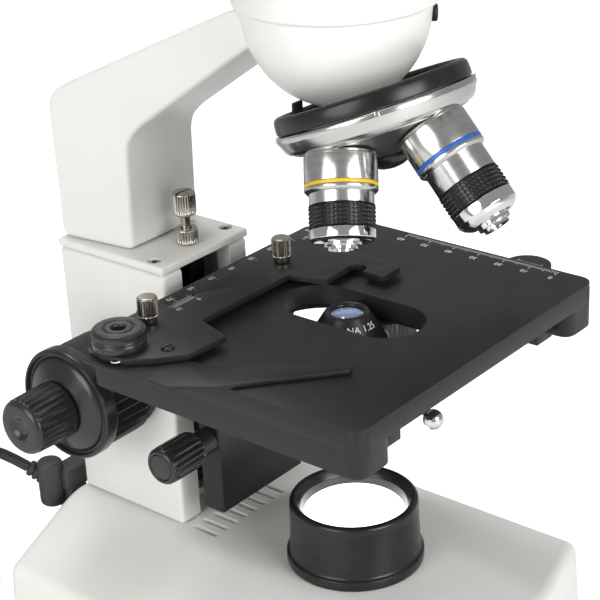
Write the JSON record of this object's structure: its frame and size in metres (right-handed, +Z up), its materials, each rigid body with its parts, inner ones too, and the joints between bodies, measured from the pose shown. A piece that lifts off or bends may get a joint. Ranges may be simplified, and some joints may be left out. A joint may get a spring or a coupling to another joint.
{
  "type": "microscope",
  "caption": "Compound laboratory microscope with a binocular head, turning nosepiece, mechanical stage, condenser, lit base and power lead.",
  "frame": {"origin": "centre of the footprint without the power lead, on the surface it stands on", "axes": "+Z up, -Y towards the user in front of the microscope, +X to the user's right"},
  "size_m": [0.1638, 0.3217, 0.3366],
  "materials": {
    "enamel": "warm white satin stove enamel",
    "black_coat": "fine-textured black satin coat",
    "black_plastic": "black moulded plastic",
    "chrome": "satin chrome",
    "nickel": "knurled nickel plate",
    "steel": "ground steel",
    "rubber": "matt black",
    "brass": "milled brass",
    "glass": "clear coated glass",
    "lamp_glass": "frosted lit glass"
  },
  "bodies": {
    "stand": {"base_housing": "enamel", "base_bottom_plate": "black_coat", "foot_front_left": "rubber", "foot_front_right": "rubber", "foot_rear_left": "rubber", "foot_rear_right": "rubber", "lamp_housing": "black_coat", "lamp_glass": "lamp_glass", "column_cover": "enamel", "column_cap": "enamel", "arm": "enamel", "nosepiece_mount": "enamel", "click_spring": "black_coat", "focus_guide": "black_coat", "tension_collar_left": "black_coat", "tension_collar_right": "black_coat", "cord_plug": "black_plastic", "cord": "rubber", "cord_coil": "rubber", "wall_adapter": "black_plastic"},
    "power_switch": {"power_switch": "black_plastic"},
    "brightness_dial": {"brightness_dial": "black_plastic"},
    "stage_stop_screw": {"stage_stop_screw": "nickel"},
    "coarse_drive": {"coarse_shaft_pinion": "steel", "coarse_knob_left": "black_plastic", "coarse_knob_right": "black_plastic"},
    "fine_drive": {"fine_shaft": "steel", "fine_knob_left": "black_plastic", "fine_knob_right": "black_plastic"},
    "stage_lift": {"stage_carriage": "black_coat", "focus_rack": "brass", "stage_bracket": "black_coat", "stage_lower_plate": "black_coat"},
    "stage": {"stage_top_plate": "black_coat", "ruler_bar": "black_coat"},
    "stage_knob_y": {"stage_knob_y": "black_plastic"},
    "stage_knob_x": {"stage_knob_x": "black_plastic"},
    "slide_holder": {"slide_holder": "black_coat", "finger_pivot_cap": "black_plastic"},
    "thumb_screw_left": {"thumb_screw_left": "nickel"},
    "thumb_screw_right": {"thumb_screw_right": "nickel"},
    "spring_finger": {"spring_finger": "black_coat"},
    "condenser": {"condenser_barrel": "black_coat", "condenser_lens": "glass", "condenser_holder": "black_coat"},
    "condenser_knob": {"condenser_knob": "black_plastic"},
    "iris_lever": {"iris_lever": "chrome"},
    "nosepiece": {"nosepiece_disc": "chrome", "nosepiece_rim": "black_coat", "nosepiece_hub_cap": "black_plastic", "objective_4x": "chrome", "objective_10x": "chrome", "objective_40x": "chrome", "objective_100x": "chrome"},
    "head": {"head_base": "enamel", "head_body": "enamel"},
    "tube_left": {"prism_arm_left": "enamel"},
    "tube_right": {"prism_arm_right": "enamel", "eyepiece_right": "black_plastic"},
    "eyepiece_left": {"eyepiece_left": "black_plastic"}
  },
  "joints": [
    {"name": "stage_height", "type": "slide", "parent": "stand", "child": "stage_lift", "axis": [0, 0, 1], "range_m": [-0.01, 0.014]},
    {"name": "coarse_turn", "type": "hinge", "parent": "stand", "child": "coarse_drive", "pos_m": [0, 0.07785, 0.1083], "axis": [1, 0, 0], "range_deg": [-132, 95]},
    {"name": "fine_turn", "type": "hinge", "parent": "stand", "child": "fine_drive", "pos_m": [0, 0.07785, 0.1083], "axis": [1, 0, 0], "continuous": true},
    {"name": "stage_forward", "type": "slide", "parent": "stage_lift", "child": "stage", "axis": [0, 1, 0], "range_m": [-0.012, 0.005]},
    {"name": "stage_knob_y_turn", "type": "hinge", "parent": "stage", "child": "stage_knob_y", "pos_m": [0.054, 0.01955, 0.12], "axis": [0, 0, 1], "range_deg": [-180, 75]},
    {"name": "holder_sideways", "type": "slide", "parent": "stage", "child": "slide_holder", "axis": [1, 0, 0], "range_m": [-0.03, 0.035]},
    {"name": "stage_knob_x_turn", "type": "hinge", "parent": "stage", "child": "stage_knob_x", "pos_m": [0.054, 0.01955, 0.1], "axis": [0, 0, 1], "range_deg": [-435, 505]},
    {"name": "finger_swing", "type": "hinge", "parent": "slide_holder", "child": "spring_finger", "pos_m": [-0.0653, 0.02895, 0.148], "axis": [0, 0, 1], "range_deg": [-28, 3], "stiffness_Nm_per_rad": 0.02},
    {"name": "thumb_screw_left_turn", "type": "hinge", "parent": "slide_holder", "child": "thumb_screw_left", "pos_m": [-0.0485, 0.03305, 0.155], "axis": [0, 0, 1], "range_deg": [-360, 360]},
    {"name": "thumb_screw_right_turn", "type": "hinge", "parent": "slide_holder", "child": "thumb_screw_right", "pos_m": [0.0109, 0.02915, 0.155], "axis": [0, 0, 1], "range_deg": [-360, 360]},
    {"name": "condenser_height", "type": "slide", "parent": "stage_lift", "child": "condenser", "axis": [0, 0, 1], "range_m": [-0.02, 0]},
    {"name": "condenser_knob_turn", "type": "hinge", "parent": "stage_lift", "child": "condenser_knob", "pos_m": [-0.03, 0.03805, 0.0958], "axis": [1, 0, 0], "range_deg": [-5, 290]},
    {"name": "iris_swing", "type": "hinge", "parent": "condenser", "child": "iris_lever", "pos_m": [0, -0.00645, 0.1245], "axis": [0, 0, 1], "range_deg": [-30, 30]},
    {"name": "nosepiece_turn", "type": "hinge", "parent": "stand", "child": "nosepiece", "pos_m": [-0.00137, -0.02308, 0.21034], "axis": [0.0307, 0.3733, 0.9272], "continuous": true},
    {"name": "head_turn", "type": "hinge", "parent": "stand", "child": "head", "pos_m": [0, -0.00645, 0.25], "axis": [0, 0, 1], "continuous": true},
    {"name": "tube_left_fold", "type": "hinge", "parent": "head", "child": "tube_left", "pos_m": [0, -0.00645, 0.271], "axis": [0, -0.866, 0.5], "range_deg": [-25, 25]},
    {"name": "tube_right_fold", "type": "hinge", "parent": "head", "child": "tube_right", "pos_m": [0, -0.00645, 0.271], "axis": [0, -0.866, 0.5], "range_deg": [-25, 25]},
    {"name": "dioptre_turn", "type": "hinge", "parent": "tube_left", "child": "eyepiece_left", "pos_m": [-0.032, -0.00645, 0.271], "axis": [0, -0.866, 0.5], "range_deg": [-170, 170]},
    {"name": "switch_rock", "type": "hinge", "parent": "stand", "child": "power_switch", "pos_m": [0.0656, 0.05555, 0.026], "axis": [0, 0, 1], "range_deg": [-5, 5]},
    {"name": "brightness_turn", "type": "hinge", "parent": "stand", "child": "brightness_dial", "pos_m": [0.0656, 0.01355, 0.026], "axis": [1, 0, 0], "range_deg": [0, 270]},
    {"name": "stop_screw_turn", "type": "hinge", "parent": "stand", "child": "stage_stop_screw", "pos_m": [0, 0.06155, 0.16], "axis": [0, 0, 1], "range_deg": [-360, 360]}
  ],
  "couplings": [
    {"joint": "coarse_turn", "follows": "stage_height", "rad_per_m": -162.6},
    {"joint": "stage_knob_y_turn", "follows": "stage_forward", "rad_per_m": 250},
    {"joint": "stage_knob_x_turn", "follows": "holder_sideways", "rad_per_m": 250},
    {"joint": "condenser_knob_turn", "follows": "condenser_height", "rad_per_m": -250},
    {"joint": "tube_right_fold", "follows": "tube_left_fold", "ratio": -1}
  ]
}
